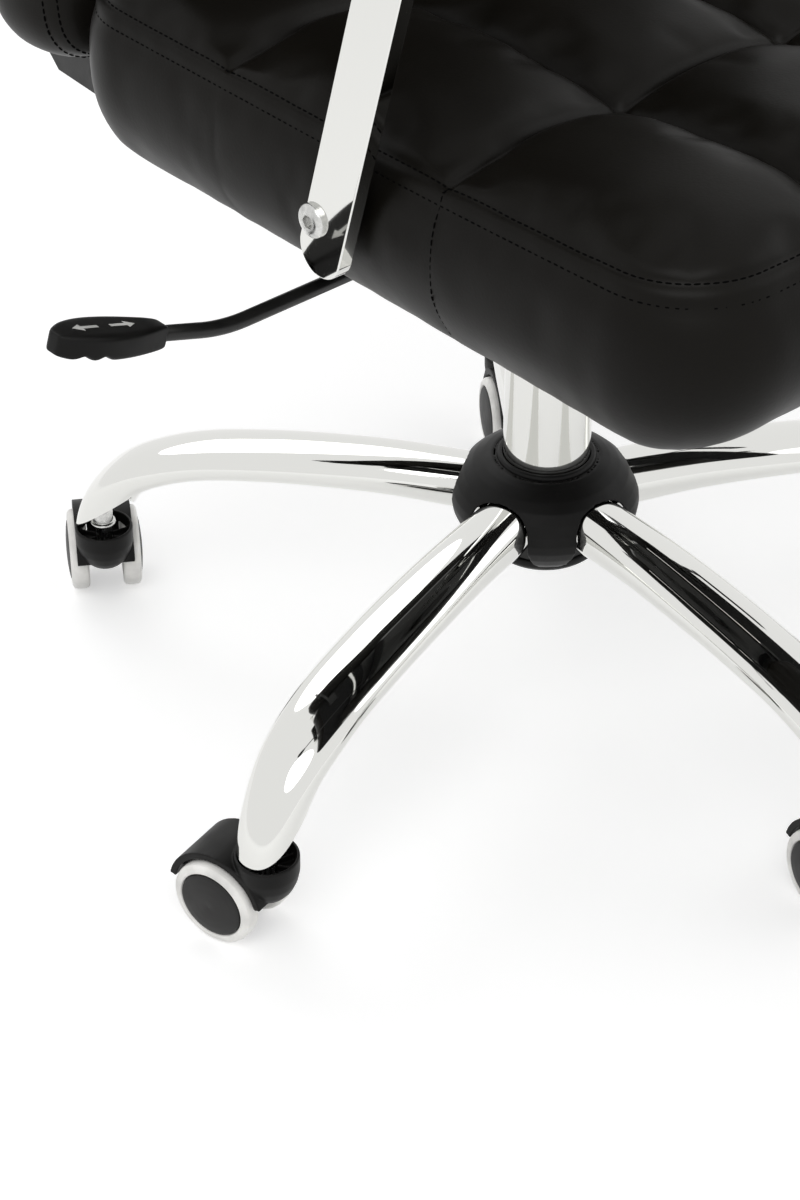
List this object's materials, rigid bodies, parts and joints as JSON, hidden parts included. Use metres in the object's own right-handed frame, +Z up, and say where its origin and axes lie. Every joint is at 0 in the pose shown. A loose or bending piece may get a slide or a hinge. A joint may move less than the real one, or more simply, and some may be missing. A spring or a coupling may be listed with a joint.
{
  "type": "reclining office chair",
  "caption": "Swivel chair with a tufted seat and tall back that reclines, linked armrests, gas lift, five-leg caster base and a pull-out footrest.",
  "frame": {"origin": "on the floor, under the middle of the chair's box", "axes": "+Z up, the sitter faces -Y, the height lever is on the -X side"},
  "size_m": [0.7044, 0.627, 1.1843],
  "materials": {
    "chrome": "polished",
    "black_plastic": "matte",
    "black_steel": "satin powder coat",
    "white_tyre": "smooth",
    "black_leather": "soft sheen",
    "plywood": "plain",
    "zinc_steel": "zinc plated"
  },
  "bodies": {
    "base": {"hub_core": "black_steel", "hub_cover": "black_plastic", "hub_underside": "black_plastic", "column_tube": "chrome", "column_collar": "black_plastic", "leg_1": "chrome", "leg_2": "chrome", "leg_3": "chrome", "leg_4": "chrome", "leg_5": "chrome"},
    "caster_1": {"caster_1_hood": "black_plastic", "caster_1_stem": "chrome"},
    "wheel_1_left": {"caster_1_wheel_left": "white_tyre"},
    "wheel_1_right": {"caster_1_wheel_right": "white_tyre"},
    "caster_2": {"caster_2_hood": "black_plastic", "caster_2_stem": "chrome"},
    "wheel_2_left": {"caster_2_wheel_left": "white_tyre"},
    "wheel_2_right": {"caster_2_wheel_right": "white_tyre"},
    "caster_3": {"caster_3_hood": "black_plastic", "caster_3_stem": "chrome"},
    "wheel_3_left": {"caster_3_wheel_left": "white_tyre"},
    "wheel_3_right": {"caster_3_wheel_right": "white_tyre"},
    "caster_4": {"caster_4_hood": "black_plastic", "caster_4_stem": "chrome"},
    "wheel_4_left": {"caster_4_wheel_left": "white_tyre"},
    "wheel_4_right": {"caster_4_wheel_right": "white_tyre"},
    "caster_5": {"caster_5_hood": "black_plastic", "caster_5_stem": "chrome"},
    "wheel_5_left": {"caster_5_wheel_left": "white_tyre"},
    "wheel_5_right": {"caster_5_wheel_right": "white_tyre"},
    "lift": {"lift_rod": "zinc_steel"},
    "mechanism": {"tilt_housing": "black_steel", "tilt_pin": "zinc_steel"},
    "knob": {"tension_knob": "black_plastic"},
    "lever": {"lever_rod": "black_steel", "lever_grip": "black_plastic"},
    "seat": {"seat_plate": "black_steel", "seat_board": "plywood", "seat_cushion": "black_leather", "recline_hinge_left": "black_steel", "recline_hinge_right": "black_steel", "arm_bolt_left": "zinc_steel", "arm_bolt_right": "zinc_steel", "footrest_guides": "black_steel"},
    "back": {"back_bracket_left": "black_steel", "back_bracket_right": "black_steel", "back_shell": "black_leather", "back_cushion": "black_leather", "head_cushion": "black_leather"},
    "strut_right": {"arm_strut_right": "chrome"},
    "arm_right": {"arm_rail_right": "chrome", "arm_pad_right": "black_leather"},
    "strut_left": {"arm_strut_left": "chrome"},
    "arm_left": {"arm_rail_left": "chrome", "arm_pad_left": "black_leather"},
    "handle": {"recline_handle": "black_plastic"},
    "footrest": {"footrest_frame": "chrome"},
    "footrest_cushion": {"footrest_plate": "black_steel", "footrest_pad": "black_leather"}
  },
  "joints": [
    {"name": "caster_1_swivel", "type": "hinge", "parent": "base", "child": "caster_1", "pos_m": [-0.11206, 0.26028, 0.045], "axis": [0, 0, 1], "continuous": true},
    {"name": "caster_1_roll_left", "type": "hinge", "parent": "caster_1", "child": "wheel_1_left", "pos_m": [-0.11297, 0.2877, 0.025], "axis": [-0.8387, 0.5446, 0], "continuous": true},
    {"name": "caster_1_roll_right", "type": "hinge", "parent": "caster_1", "child": "wheel_1_right", "pos_m": [-0.08664, 0.2706, 0.025], "axis": [-0.8387, 0.5446, 0], "continuous": true},
    {"name": "caster_2_swivel", "type": "hinge", "parent": "base", "child": "caster_2", "pos_m": [-0.23002, -0.04071, 0.045], "axis": [0, 0, 1], "continuous": true},
    {"name": "caster_2_roll_left", "type": "hinge", "parent": "caster_2", "child": "wheel_2_left", "pos_m": [-0.25088, -0.02289, 0.025], "axis": [-0.9677, -0.2521, 0], "continuous": true},
    {"name": "caster_2_roll_right", "type": "hinge", "parent": "caster_2", "child": "wheel_2_right", "pos_m": [-0.2205, -0.01498, 0.025], "axis": [-0.9677, -0.2521, 0], "continuous": true},
    {"name": "caster_3_swivel", "type": "hinge", "parent": "base", "child": "caster_3", "pos_m": [0.01979, -0.24591, 0.045], "axis": [0, 0, 1], "continuous": true},
    {"name": "caster_3_roll_left", "type": "hinge", "parent": "caster_3", "child": "wheel_3_left", "pos_m": [0.00824, -0.22102, 0.025], "axis": [-0.9848, 0.1736, 0], "continuous": true},
    {"name": "caster_3_roll_right", "type": "hinge", "parent": "caster_3", "child": "wheel_3_right", "pos_m": [0.03916, -0.22648, 0.025], "axis": [-0.9848, 0.1736, 0], "continuous": true},
    {"name": "caster_4_swivel", "type": "hinge", "parent": "base", "child": "caster_4", "pos_m": [0.29214, -0.07173, 0.045], "axis": [0, 0, 1], "continuous": true},
    {"name": "caster_4_roll_left", "type": "hinge", "parent": "caster_4", "child": "wheel_4_left", "pos_m": [0.2898, -0.0444, 0.025], "axis": [-0.866, 0.5, 0], "continuous": true},
    {"name": "caster_4_roll_right", "type": "hinge", "parent": "caster_4", "child": "wheel_4_right", "pos_m": [0.31699, -0.0601, 0.025], "axis": [-0.866, 0.5, 0], "continuous": true},
    {"name": "caster_5_swivel", "type": "hinge", "parent": "base", "child": "caster_5", "pos_m": [0.21065, 0.24111, 0.045], "axis": [0, 0, 1], "continuous": true},
    {"name": "caster_5_roll_left", "type": "hinge", "parent": "caster_5", "child": "wheel_5_left", "pos_m": [0.213, 0.21377, 0.025], "axis": [0.866, -0.5, 0], "continuous": true},
    {"name": "caster_5_roll_right", "type": "hinge", "parent": "caster_5", "child": "wheel_5_right", "pos_m": [0.18581, 0.22948, 0.025], "axis": [0.866, -0.5, 0], "continuous": true},
    {"name": "seat_height", "type": "slide", "parent": "base", "child": "lift", "axis": [0, 0, 1], "range_m": [-0.055, 0.045]},
    {"name": "seat_swivel", "type": "hinge", "parent": "lift", "child": "mechanism", "pos_m": [0.0361, 0.02861, 0.375], "axis": [0, 0, 1], "continuous": true},
    {"name": "tension_turn", "type": "hinge", "parent": "mechanism", "child": "knob", "pos_m": [0.0361, -0.03339, 0.34], "axis": [0, 0, 1], "continuous": true},
    {"name": "height_lever", "type": "hinge", "parent": "mechanism", "child": "lever", "pos_m": [-0.0339, -0.04639, 0.39], "axis": [0, 1, 0], "range_deg": [0, 4], "stiffness_Nm_per_rad": 20},
    {"name": "seat_rock", "type": "hinge", "parent": "mechanism", "child": "seat", "pos_m": [0.0361, -0.07639, 0.398], "axis": [-1, 0, 0], "range_deg": [0, 8], "stiffness_Nm_per_rad": 900},
    {"name": "recline", "type": "hinge", "parent": "seat", "child": "back", "pos_m": [0.0361, 0.14661, 0.418], "axis": [-1, 0, 0], "range_deg": [0, 35]},
    {"name": "strut_swing_right", "type": "hinge", "parent": "seat", "child": "strut_right", "pos_m": [-0.2369, -0.10289, 0.467], "axis": [-1, 0, 0], "range_deg": [0, 38.5]},
    {"name": "arm_swing_right", "type": "hinge", "parent": "back", "child": "arm_right", "pos_m": [-0.2453, 0.21261, 0.69], "axis": [-1, 0, 0], "range_deg": [-22.8, 0]},
    {"name": "strut_swing_left", "type": "hinge", "parent": "seat", "child": "strut_left", "pos_m": [0.3091, -0.10289, 0.467], "axis": [-1, 0, 0], "range_deg": [0, 38.5]},
    {"name": "arm_swing_left", "type": "hinge", "parent": "back", "child": "arm_left", "pos_m": [0.3175, 0.21261, 0.69], "axis": [-1, 0, 0], "range_deg": [-22.8, 0]},
    {"name": "recline_handle_turn", "type": "hinge", "parent": "seat", "child": "handle", "pos_m": [0.2761, 0.07361, 0.405], "axis": [-1, 0, 0], "range_deg": [0, 20], "stiffness_Nm_per_rad": 4, "springref_deg": -5.73},
    {"name": "footrest_slide", "type": "slide", "parent": "seat", "child": "footrest", "axis": [0, -1, 0], "range_m": [0, 0.22]},
    {"name": "footrest_turn", "type": "hinge", "parent": "footrest", "child": "footrest_cushion", "pos_m": [0.0361, -0.25939, 0.41], "axis": [-1, 0, 0], "range_deg": [0, 180.5]}
  ],
  "couplings": [
    {"joint": "footrest_turn", "follows": "footrest_slide", "rad_per_m": 14.28},
    {"joint": "strut_swing_right", "follows": "recline", "ratio": 1.0906},
    {"joint": "arm_swing_right", "follows": "recline", "ratio": -0.642},
    {"joint": "strut_swing_left", "follows": "recline", "ratio": 1.0906},
    {"joint": "arm_swing_left", "follows": "recline", "ratio": -0.642}
  ]
}
